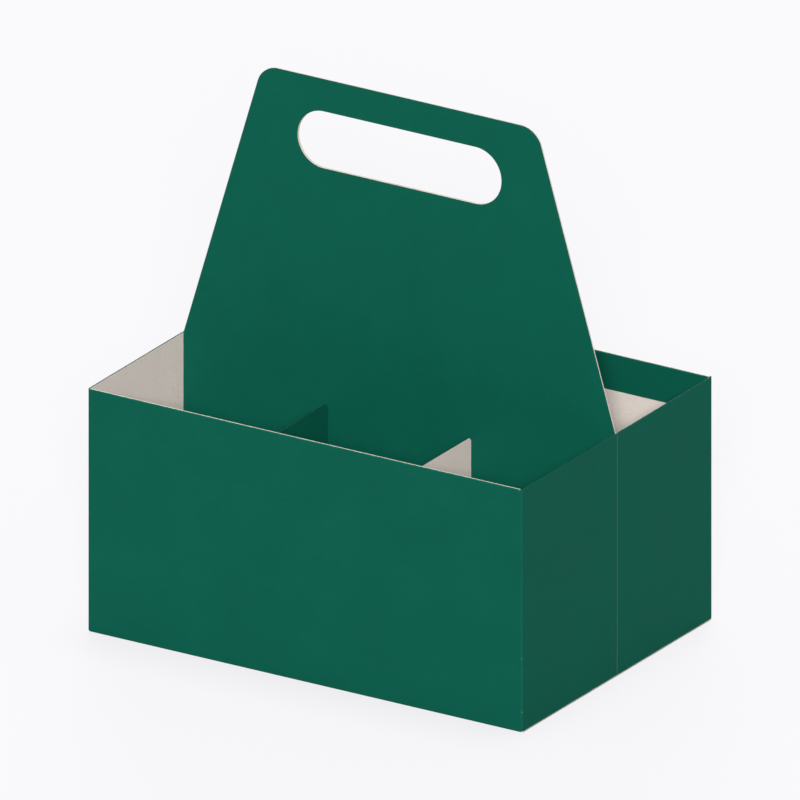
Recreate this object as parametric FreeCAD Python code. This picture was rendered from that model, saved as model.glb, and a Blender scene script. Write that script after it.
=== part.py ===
import FreeCAD, Part
import math
import os

# Open carrier for six bottles, folded from solid board that is printed on one face.
# Row frame: X along the length, -Y the front, +Z up; the origin is on the floor under the centre.
# All sizes are in millimetres.

# Board
board = 0.5
fold_radius = 0.25
glue_gap = 0.1
fold_relief = 0.5

# Tray
carrier_length = 200.0
carrier_width = 140.0
wall_height = 102.3
seam_gap = 0.3

# Rims turned in along the front and rear walls
hem_height = 15.2
hem_gap = 0.2
hem_bevel = 6.0

# Two-ply centre handle
carrier_height = 222.7
handle_top_width = 126.4
handle_corner_radius = 9.3
rear_ply_setback = 0.5
hand_hole_width = 93.8
hand_hole_height = 23.8
hand_hole_top_margin = 13.7

# Glue flaps at the ends of the handle panels
side_flap_length = 16.0
side_flap_base = 6.0
side_flap_height = 58.0
flap_bevel = 4.0

# Feet of the handle panels on the floor
foot_length = 14.0
foot_margin = 4.5

# Dividers, three cells in each row
cell_count = 3
cell_pitch = 66.0
divider_clearance = 0.2
divider_corner = 0.8
slot_meeting_height = 44.0
slot_play = 0.15
slot_flare = 1.5

# Derived sizes
outer_radius = fold_radius + board
hem_inner_radius = hem_gap / 2
hem_outer_radius = hem_inner_radius + board
half_length = carrier_length / 2
half_width = carrier_width / 2
panel_half_length = half_length - board - glue_gap
seat_height = board + glue_gap
hem_lower_edge = wall_height - hem_height
divider_positions = [(index - cell_count / 2) * cell_pitch for index in range(1, cell_count)]
handle_slot_width = board + 2 * slot_play
divider_slot_width = 2 * board + glue_gap + 2 * slot_play

X = FreeCAD.Vector(1, 0, 0)
Y = FreeCAD.Vector(0, 1, 0)
Z = FreeCAD.Vector(0, 0, 1)


def block(x, y, z):
    """Flat piece of board between (low, high) pairs along the three axes."""
    corner = FreeCAD.Vector(x[0], y[0], z[0])
    return Part.makeBox(x[1] - x[0], y[1] - y[0], z[1] - z[0], corner)


def panel(corners, thickness):
    """Flat piece of board cut to straight-sided corners, given its thickness as a vector."""
    outline = Part.makePolygon(corners + corners[:1])
    return Part.Face(outline).extrude(thickness)


def fold(centre, start, turned, degrees, run, inner_radius=fold_radius):
    """Rounded fold about a line: it begins on the side `start` and turns towards `turned`."""
    def on_arc(radius, angle):
        angle = math.radians(angle)
        return centre + start * (radius * math.cos(angle)) + turned * (radius * math.sin(angle))

    def arc(radius):
        points = [on_arc(radius, share * degrees) for share in (0, 0.5, 1)]
        return Part.Arc(*points).toShape()

    radii = (inner_radius, inner_radius + board)
    ends = [Part.makeLine(on_arc(radii[0], angle), on_arc(radii[1], angle)) for angle in (0, degrees)]
    section = Part.Wire([arc(radii[0]), ends[1], arc(radii[1]), ends[0]])
    return Part.Face(section).extrude(run)


def joined(pieces):
    """One sheet from flat pieces and folds that meet face to face."""
    return pieces[0].fuse(pieces[1:]).removeSplitter()


def mirrored(shape, normal):
    """The same shape on the other side of the centre plane with that normal."""
    return shape.mirror(FreeCAD.Vector(0, 0, 0), normal)


def front_wall():
    """Front half of the tray above the floor: bottom fold, wall, turned-in rim and two half ends."""
    wall_end = half_length - outer_radius
    hem_end = wall_end - fold_relief
    wall_face = (-half_width, -half_width + board)
    hem_line = wall_height - hem_outer_radius
    hem_centre_y = -half_width + hem_outer_radius
    hem_face_y = hem_centre_y + hem_inner_radius
    run = X * (2 * wall_end)
    hem_run = X * (2 * hem_end)
    bottom_fold = fold(FreeCAD.Vector(-wall_end, -half_width + outer_radius, outer_radius), -Z, -Y, 90, run)
    wall = block((-wall_end, wall_end), wall_face, (outer_radius, hem_line))
    rim_fold = fold(FreeCAD.Vector(-hem_end, hem_centre_y, hem_line), -Y, Z, 180, hem_run, hem_inner_radius)
    hem_corners = [
        FreeCAD.Vector(-hem_end, hem_face_y, hem_line),
        FreeCAD.Vector(hem_end, hem_face_y, hem_line),
        FreeCAD.Vector(hem_end - hem_bevel, hem_face_y, hem_lower_edge),
        FreeCAD.Vector(-hem_end + hem_bevel, hem_face_y, hem_lower_edge),
    ]
    pieces = [bottom_fold, wall, rim_fold, panel(hem_corners, Y * board)]
    for side in (-1, 1):
        beside_hem = sorted((side * (hem_end + fold_relief / 2), side * wall_end))
        pieces.append(block(beside_hem, wall_face, (hem_line, wall_height)))
        pieces.extend(half_end(side))
    return pieces


def half_end(side):
    """Corner fold and half of one end, from the front wall to the seam in the middle."""
    corner_x = side * (half_length - outer_radius)
    corner_y = -half_width + outer_radius
    end_face = sorted((side * (half_length - board), side * half_length))
    run = Z * (wall_height - seat_height)
    corner = fold(FreeCAD.Vector(corner_x, corner_y, seat_height), -Y, X * side, 90, run)
    half = block(end_face, (corner_y, -seam_gap / 2), (seat_height, wall_height))
    return [corner, half]


def carrier_body():
    """The tray: floor, front and rear walls with hems, and four half ends, all one sheet."""
    floor_edge = half_width - outer_radius
    floor = block((-half_length, half_length), (-floor_edge, floor_edge), (0, board))
    front = front_wall()
    rear = [mirrored(piece, Y) for piece in front]
    return joined([floor] + front + rear)


def handle_blank(setback):
    """Upright of one handle ply in front of the centre plane, with hand hole and divider slots."""
    back_y = -glue_gap / 2
    top = carrier_height - setback
    top_half = handle_top_width / 2 - setback
    shoulder_half = panel_half_length - setback
    foot_line = seat_height + outer_radius
    outline = [
        (-panel_half_length, foot_line),
        (panel_half_length, foot_line),
        (panel_half_length, wall_height),
        (shoulder_half, wall_height),
        (top_half, top),
        (-top_half, top),
        (-shoulder_half, wall_height),
        (-panel_half_length, wall_height),
    ]
    if setback == 0:
        outline = [corner for index, corner in enumerate(outline) if index not in (3, 6)]
    corners = [FreeCAD.Vector(x, back_y, z) for x, z in outline]
    blank = panel(corners, -Y * board)
    top_corners = [
        edge for edge in blank.Edges
        if abs(edge.Vertexes[0].Z - top) < 1e-6 and abs(edge.Vertexes[1].Z - top) < 1e-6
        and abs(edge.Vertexes[0].X - edge.Vertexes[1].X) < 1e-6
    ]
    return blank.makeFillet(handle_corner_radius - setback, top_corners)


def hand_hole():
    """Cutter for the hand hole, a slot with full-round ends through both plies."""
    radius = hand_hole_height / 2
    straight = hand_hole_width / 2 - radius
    middle = carrier_height - hand_hole_top_margin - radius
    cut_start = -2 * board

    def at(x, z):
        return FreeCAD.Vector(x, cut_start, middle + z)

    outline = Part.Wire([
        Part.makeLine(at(-straight, -radius), at(straight, -radius)),
        Part.Arc(at(straight, -radius), at(straight + radius, 0), at(straight, radius)).toShape(),
        Part.makeLine(at(straight, radius), at(-straight, radius)),
        Part.Arc(at(-straight, radius), at(-straight - radius, 0), at(-straight, -radius)).toShape(),
    ])
    return Part.Face(outline).extrude(Y * (4 * board))


def handle_slot(x):
    """Cutter for the slot that a divider passes through, flared at its mouth."""
    half = handle_slot_width / 2
    low = 0
    mouth = seat_height
    high = slot_meeting_height + slot_play
    outline = [
        (-half - slot_flare, low), (half + slot_flare, low), (half + slot_flare, mouth),
        (half, mouth + slot_flare), (half, high), (-half, high),
        (-half, mouth + slot_flare), (-half - slot_flare, mouth),
    ]
    corners = [FreeCAD.Vector(x + across, -2 * board, z) for across, z in outline]
    return panel(corners, Y * (4 * board))


def foot_spans():
    """Where the feet lie along the panel: one in each cell, clear of the dividers and the ends."""
    stops = [-panel_half_length] + divider_positions + [panel_half_length]
    return [(low + foot_margin, high - foot_margin) for low, high in zip(stops, stops[1:])]


def foot(span):
    """One foot: the panel's lower edge folded forward and laid on the floor."""
    back_y = -glue_gap / 2
    fold_y = back_y - outer_radius
    run = X * (span[1] - span[0])
    turn = fold(FreeCAD.Vector(span[0], fold_y, seat_height + outer_radius), Y, -Z, 90, run)
    corners = [
        FreeCAD.Vector(span[0], fold_y, seat_height),
        FreeCAD.Vector(span[1], fold_y, seat_height),
        FreeCAD.Vector(span[1] - flap_bevel, fold_y - foot_length, seat_height),
        FreeCAD.Vector(span[0] + flap_bevel, fold_y - foot_length, seat_height),
    ]
    return [turn, panel(corners, Z * board)]


def toes():
    """Short lengths of the panel's lower edge between the feet, which stand on the floor."""
    back_y = -glue_gap / 2
    stops = [-panel_half_length]
    for low, high in foot_spans():
        stops += [low - fold_relief, high + fold_relief]
    stops.append(panel_half_length)
    pairs = zip(stops[0::2], stops[1::2])
    heights = (seat_height, seat_height + outer_radius)
    return [block(pair, (back_y - board, back_y), heights) for pair in pairs]


def side_flap(side):
    """Glue flap folded forward from the end of the panel against the inside of a half end."""
    back_y = -glue_gap / 2
    fold_x = side * (panel_half_length - outer_radius)
    fold_y = back_y - outer_radius
    inner_x = side * (panel_half_length - board)
    top = side_flap_base + side_flap_height
    run = Z * side_flap_height
    turn = fold(FreeCAD.Vector(fold_x, fold_y, side_flap_base), Y, X * side, 90, run)
    corners = [
        FreeCAD.Vector(inner_x, fold_y, side_flap_base),
        FreeCAD.Vector(inner_x, fold_y, top),
        FreeCAD.Vector(inner_x, fold_y - side_flap_length, top - flap_bevel),
        FreeCAD.Vector(inner_x, fold_y - side_flap_length, side_flap_base + flap_bevel),
    ]
    return [turn, panel(corners, X * (side * board))]


def side_flap_window(side):
    """Cutter that frees the edge of the panel where a side flap folds away from it."""
    x = sorted((side * (panel_half_length - outer_radius), side * (panel_half_length + board)))
    z = (side_flap_base - fold_relief, side_flap_base + side_flap_height + fold_relief)
    return block(x, (-2 * board, 2 * board), z)


def handle_panel(setback):
    """One ply of the handle with its feet and side flaps turned forward."""
    upright = joined([handle_blank(setback)] + toes())
    cutters = [hand_hole()] + [handle_slot(x) for x in divider_positions]
    cutters += [side_flap_window(side) for side in (-1, 1)]
    upright = upright.cut(cutters)
    pieces = [upright]
    for span in foot_spans():
        pieces += foot(span)
    for side in (-1, 1):
        pieces += side_flap(side)
    return joined(pieces)


def divider(x):
    """Cross divider from wall to wall under the hems, slotted from above over both handle plies."""
    reach = half_width - board - divider_clearance
    low = seat_height
    high = hem_lower_edge - divider_clearance
    half = divider_slot_width / 2
    slot_end = slot_meeting_height - slot_play
    outline = [
        (-reach + divider_corner, low), (reach - divider_corner, low), (reach, low + divider_corner),
        (reach, high - divider_corner), (reach - divider_corner, high),
        (half + slot_flare, high), (half, high - slot_flare), (half, slot_end),
        (-half, slot_end), (-half, high - slot_flare), (-half - slot_flare, high),
        (-reach + divider_corner, high), (-reach, high - divider_corner), (-reach, low + divider_corner),
    ]
    corners = [FreeCAD.Vector(x - board / 2, y, z) for y, z in outline]
    return panel(corners, X * board)


def main():
    os.makedirs("parts", exist_ok=True)
    nodes = {
        "carrier_body": carrier_body(),
        "handle_front_panel": handle_panel(0),
        "handle_rear_panel": mirrored(handle_panel(rear_ply_setback), Y),
        "left_divider": divider(divider_positions[0]),
        "right_divider": divider(divider_positions[-1]),
    }
    for name, shape in nodes.items():
        shape.exportStep("parts/" + name + ".step")
        print(name, "solids", len(shape.Solids), "valid", shape.isValid(), "volume", round(shape.Volume, 1))


main()
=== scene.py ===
import math

import bmesh
import bpy
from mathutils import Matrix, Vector


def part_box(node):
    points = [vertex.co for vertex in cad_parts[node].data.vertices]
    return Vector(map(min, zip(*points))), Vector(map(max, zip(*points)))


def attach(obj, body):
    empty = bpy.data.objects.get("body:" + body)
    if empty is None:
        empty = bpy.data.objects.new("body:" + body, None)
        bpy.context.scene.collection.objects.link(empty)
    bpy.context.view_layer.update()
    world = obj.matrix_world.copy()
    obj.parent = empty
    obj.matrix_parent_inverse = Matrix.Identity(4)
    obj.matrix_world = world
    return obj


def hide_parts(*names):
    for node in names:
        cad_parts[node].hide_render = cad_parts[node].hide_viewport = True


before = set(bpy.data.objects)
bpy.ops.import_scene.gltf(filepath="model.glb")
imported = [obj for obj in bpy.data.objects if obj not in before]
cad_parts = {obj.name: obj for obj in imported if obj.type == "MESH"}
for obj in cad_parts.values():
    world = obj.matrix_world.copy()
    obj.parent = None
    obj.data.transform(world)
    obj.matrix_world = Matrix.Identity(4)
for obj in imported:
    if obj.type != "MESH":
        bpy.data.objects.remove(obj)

bl_info = {
    "name": "Printed Board Bottle Carrier",
    "version": (1, 0, 0),
    "blender": (4, 5, 0),
    "location": "View3D > Sidebar > Carrier",
    "description": "Folded board carrier with a two-ply handle, slotted dividers and a plain studio",
    "category": "Add Mesh",
}

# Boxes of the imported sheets, which give the sizes that the visible sheets share with them
TRAY_LOW, TRAY_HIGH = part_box("carrier_body")
FRONT_LOW, FRONT_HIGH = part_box("handle_front_panel")
REAR_LOW, REAR_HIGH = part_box("handle_rear_panel")
DIVIDER_LOW, DIVIDER_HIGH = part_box("right_divider")

MM = 0.001
NEAR = 1e-6

# Material slots of every sheet
PRINTED, PLAIN, CUT = 0, 1, 2

# Segments of the curves, and the widest spacing of the lines that let a panel bow
FOLD_STEPS = 5
HEM_STEPS = 10
INNER_FOLD_STEPS = 4
CORNER_STEPS = 10
HOLE_STEPS = 16
TRAY_SPACING = 8 * MM
HANDLE_SPACING = 12 * MM
DIVIDER_SPACING = 10 * MM

# Welding of mirrored halves, and the softening of cut edges
MIRROR_WELD = 0.01 * MM
WELD = 0.005 * MM
EDGE_SOFTNESS = 0.1 * MM
EDGE_ANGLE = math.radians(60)
SMOOTH_ANGLE = math.radians(35)

# Wear of the print on a crease and on a rubbed corner, and how high the corners are rubbed
CREASE_WEAR = 0.42
CORNER_WEAR = 0.56
RUBBED_HEIGHT = 33 * MM

# How dark the seam's edges are pressed, beside the half ends' other edges at 1
SEAM_BURNISH = 0.8

# Shape of the bulges: the height of their crest and the ends' bulge as a share of the walls'
CREST_TURN = 0.62 * math.pi
END_BOW_SHARE = 0.3
HANDLE_CURL = 1.2
HANDLE_SIDE_CURL = 1.6


class CarrierSizes(bpy.types.PropertyGroup):
    """Sizes of the folded sheets."""

    board: bpy.props.FloatProperty(
        name="Board", description="Thickness of the board",
        default=DIVIDER_HIGH.x - DIVIDER_LOW.x, subtype="DISTANCE", unit="LENGTH")
    fold_radius: bpy.props.FloatProperty(
        name="Fold radius", description="Inside radius of a plain fold",
        default=0.25 * MM, subtype="DISTANCE", unit="LENGTH")
    fold_relief: bpy.props.FloatProperty(
        name="Fold relief", description="Play between a fold and the edge beside it",
        default=0.5 * MM, subtype="DISTANCE", unit="LENGTH")
    half_length: bpy.props.FloatProperty(
        name="Half length", description="Half of the tray's length",
        default=TRAY_HIGH.x, subtype="DISTANCE", unit="LENGTH")
    half_width: bpy.props.FloatProperty(
        name="Half width", description="Half of the tray's width",
        default=TRAY_HIGH.y, subtype="DISTANCE", unit="LENGTH")
    wall_height: bpy.props.FloatProperty(
        name="Wall height", description="Height of the tray's rim",
        default=TRAY_HIGH.z, subtype="DISTANCE", unit="LENGTH")
    seam_gap: bpy.props.FloatProperty(
        name="Seam gap", description="Gap between the two halves of an end",
        default=0.3 * MM, subtype="DISTANCE", unit="LENGTH")
    seat_height: bpy.props.FloatProperty(
        name="Seat height", description="Height at which the inner sheets stand on the floor",
        default=DIVIDER_LOW.z, subtype="DISTANCE", unit="LENGTH")
    hem_height: bpy.props.FloatProperty(
        name="Hem height", description="Depth of the rim that is turned in",
        default=15.2 * MM, subtype="DISTANCE", unit="LENGTH")
    hem_radius: bpy.props.FloatProperty(
        name="Hem radius", description="Outside radius of the turned rim",
        default=0.6 * MM, subtype="DISTANCE", unit="LENGTH")
    hem_bevel: bpy.props.FloatProperty(
        name="Hem bevel", description="How far the ends of a hem slope in",
        default=6 * MM, subtype="DISTANCE", unit="LENGTH")
    handle_half_top: bpy.props.FloatProperty(
        name="Half handle top", description="Half width of the handle's top before rounding",
        default=63.2 * MM, subtype="DISTANCE", unit="LENGTH")
    handle_corner: bpy.props.FloatProperty(
        name="Handle corner", description="Radius of the handle's top corners",
        default=9.3 * MM, subtype="DISTANCE", unit="LENGTH")
    hole_width: bpy.props.FloatProperty(
        name="Hand hole width", description="Width of the hand hole",
        default=93.8 * MM, subtype="DISTANCE", unit="LENGTH")
    hole_height: bpy.props.FloatProperty(
        name="Hand hole height", description="Height of the hand hole",
        default=23.8 * MM, subtype="DISTANCE", unit="LENGTH")
    hole_margin: bpy.props.FloatProperty(
        name="Hand hole margin", description="Board left above the hand hole",
        default=13.7 * MM, subtype="DISTANCE", unit="LENGTH")
    side_flap_base: bpy.props.FloatProperty(
        name="Side flap base", description="Height of the side flaps' lower edge",
        default=6 * MM, subtype="DISTANCE", unit="LENGTH")
    side_flap_height: bpy.props.FloatProperty(
        name="Side flap height", description="Height of the side flaps",
        default=58 * MM, subtype="DISTANCE", unit="LENGTH")
    foot_length: bpy.props.FloatProperty(
        name="Foot length", description="How far the feet reach over the floor",
        default=14 * MM, subtype="DISTANCE", unit="LENGTH")
    foot_margin: bpy.props.FloatProperty(
        name="Foot margin", description="Room between a foot and the next divider or end",
        default=4.5 * MM, subtype="DISTANCE", unit="LENGTH")
    flap_bevel: bpy.props.FloatProperty(
        name="Flap bevel", description="How far the ends of flaps and feet slope in",
        default=4 * MM, subtype="DISTANCE", unit="LENGTH")
    slot_meeting: bpy.props.FloatProperty(
        name="Slot meeting", description="Height where the slots of two sheets meet",
        default=44 * MM, subtype="DISTANCE", unit="LENGTH")
    slot_play: bpy.props.FloatProperty(
        name="Slot play", description="Play on each side of a sheet in its slot",
        default=0.15 * MM, subtype="DISTANCE", unit="LENGTH")
    divider_corner: bpy.props.FloatProperty(
        name="Divider corner", description="Size of the dividers' cut corners",
        default=0.8 * MM, subtype="DISTANCE", unit="LENGTH")
    slot_flare: bpy.props.FloatProperty(
        name="Slot flare", description="How far the mouth of a slot opens out",
        default=1.5 * MM, subtype="DISTANCE", unit="LENGTH")
    bow: bpy.props.FloatProperty(
        name="Bow", description="How far a panel of board bulges between its folds",
        default=0.35 * MM, subtype="DISTANCE", unit="LENGTH")


class CarrierColours(bpy.types.PropertyGroup):
    """Colours of the print, the board and the studio."""

    print_colour: bpy.props.FloatVectorProperty(
        name="Print", description="Colour of the printed face",
        default=(0.0033, 0.094, 0.0615), subtype="COLOR", min=0, max=1)
    board_colour: bpy.props.FloatVectorProperty(
        name="Board", description="Colour of the unprinted face",
        default=(0.795, 0.695, 0.645), subtype="COLOR", min=0, max=1)
    edge_colour: bpy.props.FloatVectorProperty(
        name="Cut edge", description="Colour of the board's core at a cut or cracked edge",
        default=(0.575, 0.54, 0.46), subtype="COLOR", min=0, max=1)
    pressed_colour: bpy.props.FloatVectorProperty(
        name="Pressed edge", description="Colour of a cut edge that the die has pressed dark",
        default=(0.002, 0.068, 0.050), subtype="COLOR", min=0, max=1)
    floor_colour: bpy.props.FloatVectorProperty(
        name="Floor", description="Colour of the studio floor and background",
        default=(0.956, 0.947, 0.973), subtype="COLOR", min=0, max=1)


# Small helpers for modelling with operators

def deselect_all():
    """Leaves edit mode and selects nothing."""
    if bpy.context.object is not None and bpy.context.object.mode != "OBJECT":
        bpy.ops.object.mode_set(mode="OBJECT")
    bpy.ops.object.select_all(action="DESELECT")


def activate(obj):
    """Makes obj the only selected object and the active one."""
    deselect_all()
    obj.select_set(True)
    bpy.context.view_layer.objects.active = obj


def add_rectangle(name, low, high):
    """A flat sheet between two corners that share one coordinate, with its place in its mesh."""
    deselect_all()
    bpy.ops.mesh.primitive_plane_add(size=1)
    obj = bpy.context.object
    obj.name = name
    obj.data.name = name
    size = Vector(high) - Vector(low)
    flat = min(range(3), key=lambda axis: size[axis])
    if flat == 0:
        obj.rotation_euler = (math.radians(90), 0, math.radians(90))
        obj.scale = (size.y, size.z, 1)
    elif flat == 1:
        obj.rotation_euler = (math.radians(90), 0, 0)
        obj.scale = (size.x, size.z, 1)
    else:
        obj.scale = (size.x, size.y, 1)
    obj.location = (Vector(low) + Vector(high)) / 2
    bpy.ops.object.transform_apply(location=True, rotation=True, scale=True)
    bpy.ops.object.mode_set(mode="EDIT")
    bpy.ops.mesh.select_mode(type="EDGE")
    return obj


def select_where(obj, kind, test):
    """Selects only the verts, edges or faces whose corners all pass the test."""
    bpy.ops.mesh.select_mode(type={"verts": "VERT", "edges": "EDGE", "faces": "FACE"}[kind])
    bpy.ops.mesh.select_all(action="DESELECT")
    shape = bmesh.from_edit_mesh(obj.data)
    chosen = 0
    for item in getattr(shape, kind):
        corners = [item.co] if kind == "verts" else [vert.co for vert in item.verts]
        if all(test(corner) for corner in corners):
            item.select_set(True)
            chosen += 1
    shape.select_flush_mode()
    bmesh.update_edit_mesh(obj.data)
    if not chosen:
        raise RuntimeError(f"nothing on {obj.name} was selected")


def cut_lines(axis, places):
    """Cuts the whole sheet across one axis at each place."""
    normal = [float(index == axis) for index in range(3)]
    for place in places:
        point = [place if index == axis else 0 for index in range(3)]
        bpy.ops.mesh.select_all(action="SELECT")
        bpy.ops.mesh.bisect(plane_co=point, plane_no=normal)


def turn_fold(centre, axis, degrees, steps):
    """Rolls the selected edges round a fold line, by the right-hand rule about the axis."""
    bpy.ops.mesh.spin(steps=steps, angle=-math.radians(degrees), center=centre, axis=axis)


def pull(offset):
    """Extrudes the selected edges into a new flat part of the sheet."""
    bpy.ops.mesh.extrude_region_move(TRANSFORM_OT_translate={"value": offset})


def shift(offset):
    """Moves what is selected."""
    bpy.ops.transform.translate(value=offset)


def level(value, place):
    """Whether a coordinate lies at a place."""
    return abs(value - place) < NEAR


def evenly(low, high, step):
    """Places between two limits, about one step apart, without the limits."""
    count = max(1, round((high - low) / step))
    return [low + (high - low) * index / count for index in range(1, count)]


def finish_surface(obj, mirror_axes, outward):
    """Mirrors the modelled part, welds it and turns its printed side towards `outward`."""
    bpy.ops.object.mode_set(mode="OBJECT")
    if mirror_axes:
        mirror = obj.modifiers.new("Mirror", "MIRROR")
        mirror.use_axis = [axis in mirror_axes for axis in "XYZ"]
        mirror.merge_threshold = MIRROR_WELD
        bpy.ops.object.modifier_apply(modifier=mirror.name)
    bpy.ops.object.mode_set(mode="EDIT")
    bpy.ops.mesh.select_all(action="SELECT")
    bpy.ops.mesh.remove_doubles(threshold=WELD)
    bpy.ops.mesh.normals_make_consistent(inside=False)
    bpy.ops.object.mode_set(mode="OBJECT")
    largest = max(obj.data.polygons, key=lambda face: face.area * abs(face.normal.dot(outward)))
    if largest.normal.dot(outward) < 0:
        bpy.ops.object.mode_set(mode="EDIT")
        bpy.ops.mesh.select_all(action="SELECT")
        bpy.ops.mesh.flip_normals()
        bpy.ops.object.mode_set(mode="OBJECT")


def paint(obj, name, amount):
    """Stores a value from 0 to 1 at each point of the sheet, for its materials to read."""
    layer = obj.data.attributes.new(name, "FLOAT", "POINT")
    for vert in obj.data.vertices:
        layer.data[vert.index].value = amount(vert.co)


def displace(obj, offset):
    """Moves each point of the sheet by a smooth function of its place."""
    for vert in obj.data.vertices:
        vert.co += Vector(offset(vert.co))


def thicken(obj, board):
    """Gives the sheet its thickness behind the printed face, with plain back and cut edges."""
    solid = obj.modifiers.new("Board", "SOLIDIFY")
    solid.thickness = board
    solid.offset = -1
    solid.use_even_offset = True
    solid.use_rim = True
    solid.material_offset = PLAIN
    solid.material_offset_rim = CUT
    bpy.ops.object.modifier_apply(modifier=solid.name)


def soften_edges(obj, material=CUT):
    """Rounds the cut edges a little, as a die leaves them."""
    soft = obj.modifiers.new("Soft edges", "BEVEL")
    soft.width = EDGE_SOFTNESS
    soft.segments = 2
    soft.limit_method = "ANGLE"
    soft.angle_limit = EDGE_ANGLE
    soft.material = material
    bpy.ops.object.modifier_apply(modifier=soft.name)


def smooth(obj):
    """Smooths the folds, keeps the cut edges crisp and lets flat panels shade flat."""
    activate(obj)
    bpy.ops.object.shade_smooth_by_angle(angle=SMOOTH_ANGLE)
    weighted = obj.modifiers.new("Flat panels", "WEIGHTED_NORMAL")
    weighted.keep_sharp = True
    bpy.ops.object.modifier_apply(modifier=weighted.name)


def give_materials(obj):
    """Puts the printed, plain and cut faces' materials in their slots."""
    for name in ("printed board", "plain board", "cut board"):
        obj.data.materials.append(bpy.data.materials[name])


# Materials

def add_node(tree, kind, place, inputs=None, **settings):
    """A shader node at a place in the tree, with its settings and fixed inputs."""
    made = tree.nodes.new(kind)
    made.location = (place[0] * 200, place[1] * 160)
    for name, value in settings.items():
        setattr(made, name, value)
    for name, value in (inputs or {}).items():
        made.inputs[name].default_value = value
    return made


def board_texture():
    """Group: cloudy tone, fine fibres, dark flecks and relief of a sheet of board."""
    tree = bpy.data.node_groups.new("board texture", "ShaderNodeTree")
    tree.interface.new_socket("Vector", in_out="INPUT", socket_type="NodeSocketVector")
    for name in ("Cloud", "Fibre", "Fleck", "Relief"):
        tree.interface.new_socket(name, in_out="OUTPUT", socket_type="NodeSocketFloat")
    source = add_node(tree, "NodeGroupInput", (0, 0))
    target = add_node(tree, "NodeGroupOutput", (6, 0))
    link = tree.links.new
    cloud = add_node(tree, "ShaderNodeTexNoise", (2, 2), {"Scale": 45, "Detail": 4, "Roughness": 0.55})
    along = add_node(tree, "ShaderNodeMapping", (1, 0), {"Scale": (0.22, 0.22, 1.0)})
    fibre = add_node(tree, "ShaderNodeTexNoise", (2, 0),
                     {"Scale": 1500, "Detail": 3, "Roughness": 0.6, "Distortion": 0.6})
    spots = add_node(tree, "ShaderNodeTexNoise", (2, -2), {"Scale": 900, "Detail": 2, "Roughness": 0.5})
    fleck = add_node(tree, "ShaderNodeMapRange", (3, -2),
                     {"From Min": 0.66, "From Max": 0.74}, interpolation_type="SMOOTHSTEP")
    coarse = add_node(tree, "ShaderNodeTexNoise", (2, -4),
                      {"Scale": 420, "Detail": 3, "Roughness": 0.6})
    relief = add_node(tree, "ShaderNodeMath", (4, -3), operation="ADD")
    half = add_node(tree, "ShaderNodeMath", (3, -4), {1: 0.6}, operation="MULTIPLY")
    for texture in (cloud, spots, coarse):
        link(source.outputs["Vector"], texture.inputs["Vector"])
    link(source.outputs["Vector"], along.inputs["Vector"])
    link(along.outputs["Vector"], fibre.inputs["Vector"])
    link(spots.outputs["Fac"], fleck.inputs["Value"])
    link(coarse.outputs["Fac"], half.inputs[0])
    link(fibre.outputs["Fac"], relief.inputs[0])
    link(half.outputs["Value"], relief.inputs[1])
    link(cloud.outputs["Fac"], target.inputs["Cloud"])
    link(fibre.outputs["Fac"], target.inputs["Fibre"])
    link(fleck.outputs["Result"], target.inputs["Fleck"])
    link(relief.outputs["Value"], target.inputs["Relief"])
    return tree


def fold_cracks():
    """Group: where the print is cracked or rubbed off, from the wear stored on the sheet."""
    tree = bpy.data.node_groups.new("fold cracks", "ShaderNodeTree")
    tree.interface.new_socket("Vector", in_out="INPUT", socket_type="NodeSocketVector")
    tree.interface.new_socket("Wear", in_out="INPUT", socket_type="NodeSocketFloat")
    tree.interface.new_socket("Mask", in_out="OUTPUT", socket_type="NodeSocketFloat")
    source = add_node(tree, "NodeGroupInput", (0, 0))
    target = add_node(tree, "NodeGroupOutput", (5, 0))
    rough = add_node(tree, "ShaderNodeTexNoise", (1, 1),
                     {"Scale": 1100, "Detail": 4, "Roughness": 0.65})
    centred = add_node(tree, "ShaderNodeMath", (2, 1), {1: 0.5}, operation="SUBTRACT")
    scaled = add_node(tree, "ShaderNodeMath", (3, 1), {1: 0.7}, operation="MULTIPLY")
    total = add_node(tree, "ShaderNodeMath", (3, 0), operation="ADD")
    mask = add_node(tree, "ShaderNodeMapRange", (4, 0),
                    {"From Min": 0.62, "From Max": 0.8}, interpolation_type="SMOOTHSTEP")
    link = tree.links.new
    link(source.outputs["Vector"], rough.inputs["Vector"])
    link(rough.outputs["Fac"], centred.inputs[0])
    link(centred.outputs["Value"], scaled.inputs[0])
    link(scaled.outputs["Value"], total.inputs[0])
    link(source.outputs["Wear"], total.inputs[1])
    link(total.outputs["Value"], mask.inputs["Value"])
    link(mask.outputs["Result"], target.inputs["Mask"])
    return tree


def begin_material(name, texture):
    """A material with its shader, object coordinates and the board texture wired to them."""
    material = bpy.data.materials.new(name)
    material.use_nodes = True
    tree = material.node_tree
    tree.nodes.clear()
    output = add_node(tree, "ShaderNodeOutputMaterial", (7, 0))
    shader = add_node(tree, "ShaderNodeBsdfPrincipled", (5, 0))
    tree.links.new(shader.outputs["BSDF"], output.inputs["Surface"])
    place = add_node(tree, "ShaderNodeTexCoord", (-1, 0))
    board = add_node(tree, "ShaderNodeGroup", (0, 0), node_tree=texture)
    tree.links.new(place.outputs["Object"], board.inputs["Vector"])
    return material, tree, shader, place, board


def mix_colours(tree, place, factor, first, second):
    """A colour mix whose factor is a socket and whose colours are sockets or plain colours."""
    mixer = add_node(tree, "ShaderNodeMix", place, data_type="RGBA")
    tree.links.new(factor, mixer.inputs["Factor"])
    for socket, colour in ((mixer.inputs[6], first), (mixer.inputs[7], second)):
        if isinstance(colour, bpy.types.NodeSocket):
            tree.links.new(colour, socket)
        else:
            socket.default_value = (*colour, 1)
    return mixer.outputs[2]


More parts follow.
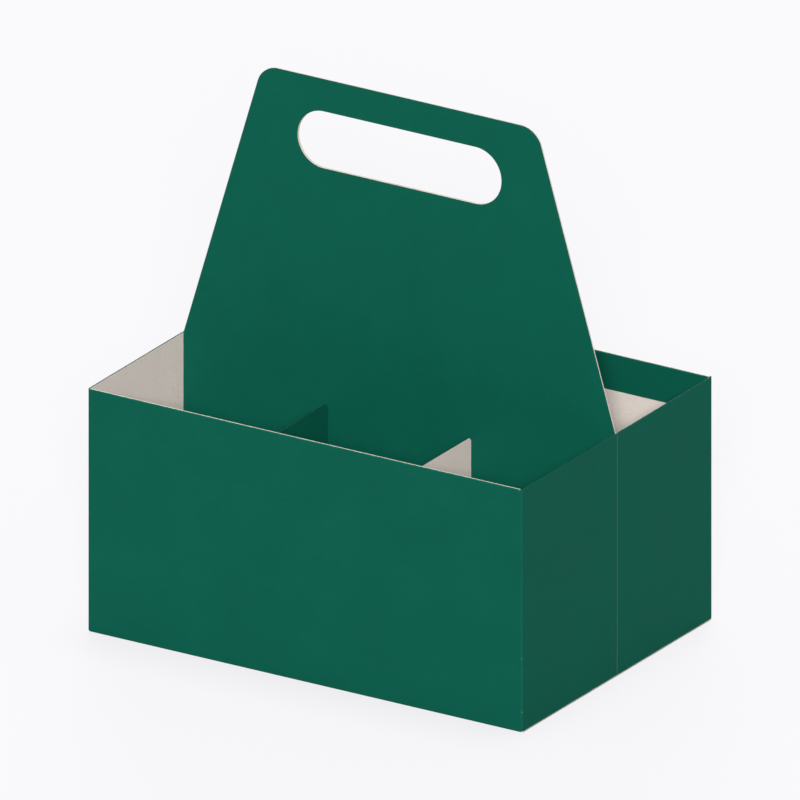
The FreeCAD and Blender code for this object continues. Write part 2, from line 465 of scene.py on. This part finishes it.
def map_range(tree, place, value, source, target):
    """A value remapped from one range to another."""
    ranged = add_node(tree, "ShaderNodeMapRange", place, {
        "From Min": source[0], "From Max": source[1], "To Min": target[0], "To Max": target[1]})
    tree.links.new(value, ranged.inputs["Value"])
    return ranged.outputs["Result"]


def add_relief(tree, shader, height, strength, depth):
    """Wires a bump of a given depth to the shader."""
    bump = add_node(tree, "ShaderNodeBump", (4, -3), {"Strength": strength, "Distance": depth})
    tree.links.new(height, bump.inputs["Height"])
    tree.links.new(bump.outputs["Normal"], shader.inputs["Normal"])


def tinted(colour, share):
    """A colour made lighter or darker by a share."""
    return tuple(min(1.0, part * share) for part in colour)


def printed_material(colours, texture, cracks):
    """Satin green print: cloudy ink, fibres that show through, cracked folds."""
    material, tree, shader, place, board = begin_material("printed board", texture)
    ink = colours.print_colour
    cloud = map_range(tree, (0, 2), board.outputs["Cloud"], (0.3, 0.7), (0, 1))
    cloudy = mix_colours(tree, (1, 2), cloud, tinted(ink, 0.96), tinted(ink, 1.04))
    fibre = map_range(tree, (1, 1), board.outputs["Fibre"], (0.45, 0.8), (0, 0.1))
    fibrous = mix_colours(tree, (2, 2), fibre, cloudy, tinted(ink, 1.9))
    wear = add_node(tree, "ShaderNodeAttribute", (-1, -2), attribute_name="wear")
    crack = add_node(tree, "ShaderNodeGroup", (1, -1), node_tree=cracks)
    tree.links.new(place.outputs["Object"], crack.inputs["Vector"])
    tree.links.new(wear.outputs["Fac"], crack.inputs["Wear"])
    worn = mix_colours(tree, (3, 1), crack.outputs["Mask"], fibrous, colours.edge_colour)
    tree.links.new(worn, shader.inputs["Base Color"])
    gloss = map_range(tree, (3, -1), board.outputs["Cloud"], (0.3, 0.7), (0.44, 0.56))
    tree.links.new(gloss, shader.inputs["Roughness"])
    shader.inputs["Specular IOR Level"].default_value = 0.035
    add_relief(tree, shader, board.outputs["Relief"], 0.35, 0.03 * MM)
    return material


def plain_material(colours, texture):
    """Unprinted grey-beige back of the board, with fibres and dark flecks."""
    material, tree, shader, _, board = begin_material("plain board", texture)
    base = colours.board_colour
    cloud = map_range(tree, (0, 2), board.outputs["Cloud"], (0.3, 0.7), (0, 1))
    cloudy = mix_colours(tree, (1, 2), cloud, tinted(base, 0.96), tinted(base, 1.04))
    fibre = map_range(tree, (1, 1), board.outputs["Fibre"], (0.3, 0.75), (0, 0.5))
    fibrous = mix_colours(tree, (2, 2), fibre, cloudy, tinted(base, 0.82))
    fleck = map_range(tree, (2, 0), board.outputs["Fleck"], (0, 1), (0, 0.45))
    flecked = mix_colours(tree, (3, 2), fleck, fibrous, tinted(base, 0.5))
    tree.links.new(flecked, shader.inputs["Base Color"])
    shader.inputs["Roughness"].default_value = 0.85
    shader.inputs["Specular IOR Level"].default_value = 0.2
    add_relief(tree, shader, board.outputs["Relief"], 0.6, 0.05 * MM)
    return material


def cut_material(colours, texture):
    """Core of the board at a cut edge: pale, fibrous and matt."""
    material, tree, shader, _, board = begin_material("cut board", texture)
    core = colours.edge_colour
    fibre = map_range(tree, (1, 1), board.outputs["Fibre"], (0.3, 0.75), (0, 1))
    fibrous = mix_colours(tree, (2, 2), fibre, tinted(core, 1.04), tinted(core, 0.85))
    burnish = add_node(tree, "ShaderNodeAttribute", (-1, -2), attribute_name="burnish")
    pressed = mix_colours(tree, (3, 1), burnish.outputs["Fac"], fibrous, colours.pressed_colour)
    tree.links.new(pressed, shader.inputs["Base Color"])
    shader.inputs["Roughness"].default_value = 0.9
    shader.inputs["Specular IOR Level"].default_value = 0.2
    add_relief(tree, shader, board.outputs["Relief"], 0.8, 0.08 * MM)
    return material


class CARRIER_OT_materials(bpy.types.Operator):
    """Make the materials of the board's three kinds of face"""

    bl_idname = "carrier.make_materials"
    bl_label = "Board Materials"

    def execute(self, context):
        colours = context.scene.carrier_colours
        texture = board_texture()
        printed_material(colours, texture, fold_cracks())
        plain_material(colours, texture)
        cut_material(colours, texture)
        return {"FINISHED"}


# The tray

def model_tray_quarter(obj, sizes):
    """Floor, wall, hem and half end of one quarter of the tray, as the outer face of the sheet."""
    outer = sizes.fold_radius + sizes.board
    wall_end = sizes.half_length - outer
    hem_end = wall_end - sizes.fold_relief
    hem_line = sizes.wall_height - sizes.hem_radius
    wall_y = -sizes.half_width
    hem_y = wall_y + 2 * sizes.hem_radius
    beside_hem = hem_end + sizes.fold_relief / 2
    cut_lines(0, (hem_end, beside_hem, wall_end))

    select_where(obj, "edges", lambda c: level(c.y, wall_y + outer) and c.x < wall_end + NEAR)
    turn_fold((0, wall_y + outer, outer), (-1, 0, 0), 90, FOLD_STEPS)
    select_where(obj, "edges", lambda c: level(c.y, wall_y) and level(c.z, outer))
    pull((0, 0, hem_line - outer))

    select_where(obj, "edges", lambda c: level(c.z, hem_line) and c.x < hem_end + NEAR)
    turn_fold((0, wall_y + sizes.hem_radius, hem_line), (-1, 0, 0), 180, HEM_STEPS)
    select_where(obj, "edges", lambda c: level(c.z, hem_line) and level(c.y, hem_y))
    pull((0, 0, sizes.wall_height - sizes.hem_height - hem_line))
    select_where(obj, "verts", lambda c: level(c.y, hem_y) and c.z < hem_line - NEAR
                 and c.x > hem_end - NEAR)
    shift((-sizes.hem_bevel, 0, 0))

    select_where(obj, "edges", lambda c: level(c.z, hem_line) and level(c.y, wall_y)
                 and c.x > beside_hem - NEAR)
    pull((0, 0, sizes.wall_height - hem_line))

    select_where(obj, "edges", lambda c: level(c.x, wall_end) and level(c.y, wall_y)
                 and c.z > outer - NEAR)
    turn_fold((wall_end, wall_y + outer, 0), (0, 0, 1), 90, FOLD_STEPS)
    select_where(obj, "edges", lambda c: level(c.x, sizes.half_length) and c.z > outer - NEAR)
    pull((0, sizes.half_width - outer - sizes.seam_gap / 2, 0))
    select_where(obj, "verts", lambda c: c.x > wall_end + NEAR and level(c.z, outer))
    shift((0, 0, sizes.seat_height - outer))


def tray_wear(sizes):
    """How worn the print is: the turned rims most, the corners' feet some, other folds a little."""
    outer = sizes.fold_radius + sizes.board
    hem_line = sizes.wall_height - sizes.hem_radius
    inner_y = sizes.half_width - 2 * sizes.hem_radius

    def wear(place):
        depth_y = sizes.half_width - abs(place.y)
        depth_x = sizes.half_length - abs(place.x)
        if place.z > hem_line + NEAR and abs(place.y) > inner_y - NEAR and depth_x > outer:
            return ((place.z - hem_line) / sizes.hem_radius) ** 3
        on_corner = depth_x < outer - NEAR and depth_y < outer - NEAR
        on_crest = on_corner and abs(depth_x - depth_y) < 0.3 * outer
        if on_crest and place.z < RUBBED_HEIGHT:
            return CORNER_WEAR
        if on_corner or depth_y < outer - NEAR and place.z < outer - NEAR:
            return CREASE_WEAR
        return 0.0

    return wear


def tray_burnish(sizes):
    """How dark the die has pressed the cut edge: the half ends most, the seam less, the floor not."""
    inside = sizes.half_length - 2 * sizes.board
    seam = sizes.seam_gap / 2 + NEAR

    def burnish(place):
        if abs(place.x) < inside or place.z < sizes.seat_height - NEAR:
            return 0.0
        return 1.0 if abs(place.y) > seam else SEAM_BURNISH

    return burnish


def tray_bow(sizes):
    """Outward bulge of the long walls and ends between their folds."""
    stiff_end = sizes.half_length - 2 * MM

    def offset(place):
        share_z = max(0.0, min(1.0, place.z / sizes.wall_height))
        lift = math.sin(CREST_TURN * share_z)
        out_y = out_x = 0.0
        if abs(place.y) > sizes.half_width - 3 * sizes.hem_radius:
            across = math.cos(math.pi / 2 * min(1.0, abs(place.x) / stiff_end))
            out_y = math.copysign(sizes.bow * across * lift, place.y)
        elif abs(place.x) > sizes.half_length - NEAR and place.z > sizes.seat_height - NEAR:
            across = math.cos(math.pi / 2 * min(1.0, abs(place.y) / sizes.half_width))
            out_x = math.copysign(END_BOW_SHARE * sizes.bow * across * lift, place.x)
        return (out_x, out_y, 0)

    return offset


class CARRIER_OT_tray(bpy.types.Operator):
    """Fold the tray: floor, walls with turned-in rims, and half ends that meet at a seam"""

    bl_idname = "carrier.add_tray"
    bl_label = "Tray"

    def execute(self, context):
        sizes = context.scene.carrier_sizes
        outer = sizes.fold_radius + sizes.board
        support = MM
        floor_y = sizes.half_width - outer
        hem_line = sizes.wall_height - sizes.hem_radius
        tray = add_rectangle("tray_sheet", (0, -floor_y, 0), (sizes.half_length, 0, 0))
        model_tray_quarter(tray, sizes)
        fold_x = sizes.half_length - outer
        panel_x = evenly(0, fold_x - 2 * support, TRAY_SPACING)
        panel_y = evenly(-floor_y + 2 * support, 0, TRAY_SPACING) + [-sizes.seam_gap / 2 - support]
        panel_z = evenly(outer + support, sizes.wall_height - sizes.hem_height, TRAY_SPACING)
        cut_lines(0, panel_x + [fold_x - support])
        cut_lines(1, [-floor_y + support] + panel_y)
        cut_lines(2, [outer + support] + panel_z + [hem_line - support])
        finish_surface(tray, "XY", Vector((0, 0, -1)))
        give_materials(tray)
        paint(tray, "wear", tray_wear(sizes))
        paint(tray, "burnish", tray_burnish(sizes))
        displace(tray, tray_bow(sizes))
        thicken(tray, sizes.board)
        soften_edges(tray, PRINTED)
        smooth(tray)
        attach(tray, "root")
        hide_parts("carrier_body")
        return {"FINISHED"}


# The handle

def round_top(obj, sizes, setback):
    """Rounds the handle's top corner on the modelled half."""
    top = FRONT_HIGH.z - setback
    half_top = sizes.handle_half_top - setback
    rise = top - sizes.wall_height
    lean = math.atan2(FRONT_HIGH.x - setback - half_top, rise)
    reach = (sizes.handle_corner - setback) * math.tan((math.pi / 2 - lean) / 2)
    select_where(obj, "verts", lambda c: level(c.z, top) and level(c.x, half_top))
    bpy.ops.mesh.bevel(affect="VERTICES", offset=reach, segments=CORNER_STEPS, profile=0.5)


def model_handle_half(obj, sizes, face_y, centre_y, setback):
    """Right half of a handle ply as its printed face: upright, toes, feet and side flap."""
    panel_end = FRONT_HIGH.x
    outer = sizes.fold_radius + sizes.board
    fold_x = panel_end - outer
    foot_line = sizes.seat_height + outer
    top = FRONT_HIGH.z - setback
    half_top = sizes.handle_half_top - setback
    shoulder = panel_end - setback
    divider_x = (DIVIDER_LOW.x + DIVIDER_HIGH.x) / 2
    slot_half = sizes.board / 2 + sizes.slot_play
    slot_top = sizes.slot_meeting + sizes.slot_play
    feet = (
        (0, divider_x - sizes.foot_margin),
        (divider_x + sizes.foot_margin, panel_end - sizes.foot_margin),
    )
    flap = (sizes.side_flap_base, sizes.side_flap_base + sizes.side_flap_height)
    relief = sizes.fold_relief

    if setback:
        cut_lines(0, [shoulder])
    select_where(obj, "edges", lambda c: level(c.z, sizes.wall_height) and c.x < shoulder + NEAR)
    pull((0, 0, top - sizes.wall_height))
    select_where(obj, "verts", lambda c: level(c.z, top) and level(c.x, shoulder))
    shift((half_top - shoulder, 0, 0))
    round_top(obj, sizes, setback)

    cut_lines(0, (divider_x - slot_half, divider_x + slot_half, fold_x))
    cut_lines(0, (feet[0][1], feet[0][1] + relief, feet[1][0] - relief, feet[1][0]))
    cut_lines(0, (feet[1][1], feet[1][1] + relief))
    mouth_end = sizes.seat_height + sizes.slot_flare
    cut_lines(2, (mouth_end, slot_top, flap[0] - relief, flap[0], flap[1], flap[1] + relief))

    def in_toe(x):
        beside_slot = feet[0][1] + relief - NEAR < x < feet[1][0] - relief + NEAR
        return beside_slot or x > feet[1][1] + relief - NEAR

    select_where(obj, "edges", lambda c: level(c.z, foot_line) and in_toe(c.x))
    pull((0, 0, -outer))
    select_where(obj, "faces", lambda c: abs(c.x - divider_x) < slot_half + NEAR
                 and c.z < slot_top + NEAR)
    bpy.ops.mesh.delete(type="FACE")
    for way in (-1, 1):
        side = divider_x + way * slot_half
        for height in (sizes.seat_height, foot_line):
            select_where(obj, "verts", lambda c: level(c.z, height) and level(c.x, side))
            shift((way * (mouth_end - height), 0, 0))
    window = (flap[0] - relief - NEAR, flap[1] + relief + NEAR)
    select_where(obj, "faces", lambda c: c.x > fold_x - NEAR and window[0] < c.z < window[1])
    bpy.ops.mesh.delete(type="FACE")

    for low, high in feet:
        select_where(obj, "edges", lambda c: level(c.z, foot_line)
                     and low - NEAR < c.x < high + NEAR)
        turn_fold((0, centre_y, foot_line), (-1, 0, 0), 90, INNER_FOLD_STEPS)
    toe_y = centre_y - sizes.foot_length
    inner_z = foot_line - sizes.fold_radius
    select_where(obj, "edges", lambda c: level(c.z, inner_z) and level(c.y, centre_y))
    pull((0, -sizes.foot_length, 0))
    for end, way in ((feet[0][1], -1), (feet[1][0], 1), (feet[1][1], -1)):
        select_where(obj, "verts", lambda c: level(c.y, toe_y) and level(c.x, end))
        shift((way * sizes.flap_bevel, 0, 0))

    select_where(obj, "edges", lambda c: level(c.x, fold_x) and level(c.y, face_y)
                 and flap[0] - NEAR < c.z < flap[1] + NEAR)
    turn_fold((fold_x, centre_y, 0), (0, 0, -1), 90, INNER_FOLD_STEPS)
    flap_x = fold_x + sizes.fold_radius
    select_where(obj, "edges", lambda c: level(c.x, flap_x) and level(c.y, centre_y))
    pull((0, FRONT_LOW.y - centre_y, 0))
    for end, way in ((flap[0], 1), (flap[1], -1)):
        select_where(obj, "verts", lambda c: level(c.y, FRONT_LOW.y) and level(c.z, end))
        shift((0, 0, way * sizes.flap_bevel))


def hand_hole_cutter(sizes):
    """Slot-shaped block that cuts the hand hole, its ends rounded just short of the full radius."""
    radius = sizes.hole_height / 2
    depth = 12 * MM
    deselect_all()
    bpy.ops.mesh.primitive_cube_add(size=1)
    cutter = bpy.context.object
    cutter.name = "hand_hole_cutter"
    cutter.scale = (sizes.hole_width, depth, sizes.hole_height)
    cutter.location = (0, 0, FRONT_HIGH.z - sizes.hole_margin - radius)
    bpy.ops.object.transform_apply(location=True, rotation=True, scale=True)
    bpy.ops.object.mode_set(mode="EDIT")
    bpy.ops.mesh.select_mode(type="EDGE")
    bpy.ops.mesh.select_all(action="DESELECT")
    shape = bmesh.from_edit_mesh(cutter.data)
    for edge in shape.edges:
        along = edge.verts[0].co - edge.verts[1].co
        edge.select_set(abs(along.y) > depth / 2)
    bmesh.update_edit_mesh(cutter.data)
    bpy.ops.mesh.bevel(offset=radius * 0.9999, segments=HOLE_STEPS, profile=0.5)
    bpy.ops.object.mode_set(mode="OBJECT")
    give_materials(cutter)
    for face in cutter.data.polygons:
        face.material_index = CUT
    return cutter


def cut_hand_hole(obj, cutter):
    """Cuts the hand hole through a ply, with the board's core on its edge."""
    activate(obj)
    hole = obj.modifiers.new("Hand hole", "BOOLEAN")
    hole.operation = "DIFFERENCE"
    hole.solver = "EXACT"
    hole.material_mode = "INDEX"
    hole.object = cutter
    bpy.ops.object.modifier_apply(modifier=hole.name)


def handle_bow(sizes):
    """Slight lean and curl of the free part of the handle above the rim."""
    def offset(place):
        rise = max(0.0, place.z - sizes.wall_height) / (FRONT_HIGH.z - sizes.wall_height)
        side = (place.x / sizes.half_length) ** 2
        curl = sizes.bow * rise * rise * (HANDLE_CURL - HANDLE_SIDE_CURL * side)
        return (0, curl, 0)

    return offset


class CARRIER_OT_handle(bpy.types.Operator):
    """Fold the two plies of the handle and cut the hand hole through both"""

    bl_idname = "carrier.add_handle"
    bl_label = "Handle"

    def execute(self, context):
        sizes = context.scene.carrier_sizes
        plies = (
            ("handle_front_sheet", "handle_front_panel", FRONT_HIGH.y, 0.0, -1),
            ("handle_rear_sheet", "handle_rear_panel", -REAR_LOW.y, FRONT_HIGH.z - REAR_HIGH.z, 1),
        )
        cutter = hand_hole_cutter(sizes)
        for name, node, back_y, setback, facing in plies:
            ply = self.model_ply(name, sizes, back_y, setback, facing)
            cut_hand_hole(ply, cutter)
            soften_edges(ply)
            smooth(ply)
            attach(ply, "root")
            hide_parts(node)
        bpy.data.objects.remove(cutter)
        return {"FINISHED"}

    def model_ply(self, name, sizes, back_y, setback, facing):
        """One ply as a solid sheet; the rear one is turned round after it is modelled."""
        outer = sizes.fold_radius + sizes.board
        face_y = back_y - sizes.board
        centre_y = back_y - outer
        low = (0, face_y, sizes.seat_height + outer)
        high = (FRONT_HIGH.x, face_y, sizes.wall_height)
        ply = add_rectangle(name, low, high)
        model_handle_half(ply, sizes, face_y, centre_y, setback)
        cut_lines(0, evenly(0, FRONT_HIGH.x - 2 * outer, HANDLE_SPACING))
        cut_lines(2, evenly(sizes.seat_height + 2 * outer, FRONT_HIGH.z - setback, HANDLE_SPACING))
        if facing > 0:
            bpy.ops.mesh.select_all(action="SELECT")
            bpy.ops.transform.resize(value=(1, -1, 1), center_override=(0, 0, 0))
        finish_surface(ply, "X", Vector((0, facing, 0)))
        give_materials(ply)
        paint(ply, "wear", lambda place: 0.0)
        paint(ply, "burnish", lambda place: 0.0)
        displace(ply, handle_bow(sizes))
        thicken(ply, sizes.board)
        return ply


# The dividers

def model_divider_half(obj, sizes):
    """Rear half of a divider: cut corners and half of the slot that fits over the handle."""
    reach = DIVIDER_HIGH.y
    low, high = DIVIDER_LOW.z, DIVIDER_HIGH.z
    slot_half = -FRONT_HIGH.y + sizes.board + sizes.slot_play
    slot_end = sizes.slot_meeting - sizes.slot_play
    cut_lines(1, [slot_half])
    cut_lines(2, [slot_end])
    select_where(obj, "faces", lambda c: c.y < slot_half + NEAR and c.z > slot_end - NEAR)
    bpy.ops.mesh.delete(type="FACE")
    select_where(obj, "verts", lambda c: level(c.y, reach)
                 and (level(c.z, low) or level(c.z, high)))
    bpy.ops.mesh.bevel(affect="VERTICES", offset=sizes.divider_corner, segments=4, profile=0.5)
    select_where(obj, "verts", lambda c: level(c.y, slot_half) and level(c.z, high))
    bpy.ops.mesh.bevel(affect="VERTICES", offset=sizes.slot_flare, segments=1)


class CARRIER_OT_dividers(bpy.types.Operator):
    """Cut the two slotted dividers, printed on the faces towards the middle cells"""

    bl_idname = "carrier.add_dividers"
    bl_label = "Dividers"

    def execute(self, context):
        sizes = context.scene.carrier_sizes
        for side, facing in (("left", 1), ("right", -1)):
            low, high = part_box(side + "_divider")
            face_x = high.x if facing > 0 else low.x
            corners = (face_x, 0, low.z), (face_x, high.y, high.z)
            sheet = add_rectangle(side + "_divider_sheet", *corners)
            model_divider_half(sheet, sizes)
            cut_lines(1, evenly(0, high.y, DIVIDER_SPACING))
            cut_lines(2, evenly(low.z, high.z, DIVIDER_SPACING))
            finish_surface(sheet, "Y", Vector((facing, 0, 0)))
            give_materials(sheet)
            paint(sheet, "wear", lambda place: 0.0)
            paint(sheet, "burnish", lambda place: 1.0)
            thicken(sheet, sizes.board)
            soften_edges(sheet)
            smooth(sheet)
            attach(sheet, "root")
            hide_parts(side + "_divider")
        return {"FINISHED"}


# The studio, with angles in degrees and lengths in metres

VIEW_AZIMUTH = 32
VIEW_ELEVATION = 22
VIEW_WIDTH = 0.31235
VIEW_HEIGHT = 0.0949
VIEW_DISTANCE = 1.5
LAMP_DISTANCE = 2
FLOOR_SIZE = 12
FLOOR_DROP = 0.02 * MM


def floor_material(colour):
    """Pale floor that keeps a soft shadow."""
    material = bpy.data.materials.new("studio floor")
    material.use_nodes = True
    tree = material.node_tree
    tree.nodes.clear()
    link = tree.links.new
    output = add_node(tree, "ShaderNodeOutputMaterial", (5, 0))
    lit = add_node(tree, "ShaderNodeBsdfDiffuse", (1, 1), {"Color": (0.37, 0.37, 0.373, 1)})
    seen = add_node(tree, "ShaderNodeBsdfDiffuse", (1, -1), {"Color": (0.138, 0.137, 0.141, 1)})
    glow = add_node(tree, "ShaderNodeEmission", (1, -2), {"Color": (*colour, 1), "Strength": 0.8})
    both = add_node(tree, "ShaderNodeAddShader", (2, -1))
    ray = add_node(tree, "ShaderNodeLightPath", (2, 2))
    choice = add_node(tree, "ShaderNodeMixShader", (4, 0))
    link(seen.outputs["BSDF"], both.inputs[0])
    link(glow.outputs["Emission"], both.inputs[1])
    link(ray.outputs["Is Camera Ray"], choice.inputs["Fac"])
    link(lit.outputs["BSDF"], choice.inputs[1])
    link(both.outputs["Shader"], choice.inputs[2])
    link(choice.outputs["Shader"], output.inputs["Surface"])
    return material


def studio_world(colour):
    """Even studio light from all round, with the pale background for the camera."""
    world = bpy.data.worlds.new("studio")
    bpy.context.scene.world = world
    world.use_nodes = True
    tree = world.node_tree
    tree.nodes.clear()
    link = tree.links.new
    output = add_node(tree, "ShaderNodeOutputWorld", (4, 0))
    light = add_node(tree, "ShaderNodeBackground", (1, 1), {"Color": (1, 1, 1, 1), "Strength": 0.32})
    seen = add_node(tree, "ShaderNodeBackground", (1, -1), {"Color": (*colour, 1), "Strength": 1.0})
    ray = add_node(tree, "ShaderNodeLightPath", (1, 3))
    choice = add_node(tree, "ShaderNodeMixShader", (3, 0))
    link(ray.outputs["Is Camera Ray"], choice.inputs["Fac"])
    link(light.outputs["Background"], choice.inputs[1])
    link(seen.outputs["Background"], choice.inputs[2])
    link(choice.outputs["Shader"], output.inputs["Surface"])


def add_sun(name, direction, strength, softness):
    """Soft distant lamp that shines from a direction."""
    deselect_all()
    bpy.ops.object.light_add(type="SUN", location=Vector(direction) * LAMP_DISTANCE)
    lamp = bpy.context.object
    lamp.name = name
    lamp.rotation_euler = Vector(direction).to_track_quat("Z", "Y").to_euler()
    lamp.data.energy = strength
    lamp.data.angle = math.radians(softness)


def add_camera():
    """Parallel view of the carrier's front and right end from above."""
    azimuth = math.radians(VIEW_AZIMUTH)
    elevation = math.radians(VIEW_ELEVATION)
    back = Vector((
        math.sin(azimuth) * math.cos(elevation),
        -math.cos(azimuth) * math.cos(elevation),
        math.sin(elevation),
    ))
    deselect_all()
    bpy.ops.object.camera_add(location=Vector((0, 0, VIEW_HEIGHT)) + back * VIEW_DISTANCE)
    camera = bpy.context.object
    camera.name = "camera"
    camera.rotation_euler = back.to_track_quat("Z", "Y").to_euler()
    camera.data.type = "ORTHO"
    camera.data.ortho_scale = VIEW_WIDTH
    bpy.context.scene.camera = camera


class CARRIER_OT_stage(bpy.types.Operator):
    """Set up the pale floor, the soft light and the camera"""

    bl_idname = "carrier.add_stage"
    bl_label = "Stage"

    def execute(self, context):
        colour = context.scene.carrier_colours.floor_colour
        deselect_all()
        bpy.ops.mesh.primitive_plane_add(size=FLOOR_SIZE, location=(0, 0, -FLOOR_DROP))
        floor = bpy.context.object
        floor.name = "studio_floor"
        floor.data.materials.append(floor_material(colour))
        studio_world(colour)
        add_sun("key", (0.49, -0.79, 0.42), 3.1, 10)
        add_sun("top", (0, 0.12, 1), 1.6, 20)
        add_sun("back", (-0.5, 0.8, 0.35), 1.5, 30)
        add_camera()
        context.scene.view_settings.view_transform = "Standard"
        return {"FINISHED"}


class CARRIER_PT_panel(bpy.types.Panel):
    """Buttons that build the carrier piece by piece"""

    bl_idname = "CARRIER_PT_panel"
    bl_label = "Bottle Carrier"
    bl_space_type = "VIEW_3D"
    bl_region_type = "UI"
    bl_category = "Carrier"

    def draw(self, context):
        for operator in STEPS:
            self.layout.operator(operator.bl_idname)
        for group in (context.scene.carrier_sizes, context.scene.carrier_colours):
            column = self.layout.column()
            for name in group.__annotations__:
                column.prop(group, name)


STEPS = (
    CARRIER_OT_materials,
    CARRIER_OT_tray,
    CARRIER_OT_handle,
    CARRIER_OT_dividers,
    CARRIER_OT_stage,
)
CLASSES = (CarrierSizes, CarrierColours, *STEPS, CARRIER_PT_panel)


def register():
    for cls in CLASSES:
        bpy.utils.register_class(cls)
    bpy.types.Scene.carrier_sizes = bpy.props.PointerProperty(type=CarrierSizes)
    bpy.types.Scene.carrier_colours = bpy.props.PointerProperty(type=CarrierColours)


def unregister():
    del bpy.types.Scene.carrier_colours
    del bpy.types.Scene.carrier_sizes
    for cls in reversed(CLASSES):
        bpy.utils.unregister_class(cls)


def main():
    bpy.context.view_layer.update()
    register()
    bpy.ops.carrier.make_materials()
    bpy.ops.carrier.add_tray()
    bpy.ops.carrier.add_handle()
    bpy.ops.carrier.add_dividers()
    bpy.ops.carrier.add_stage()


if __name__ == "__main__":
    main()
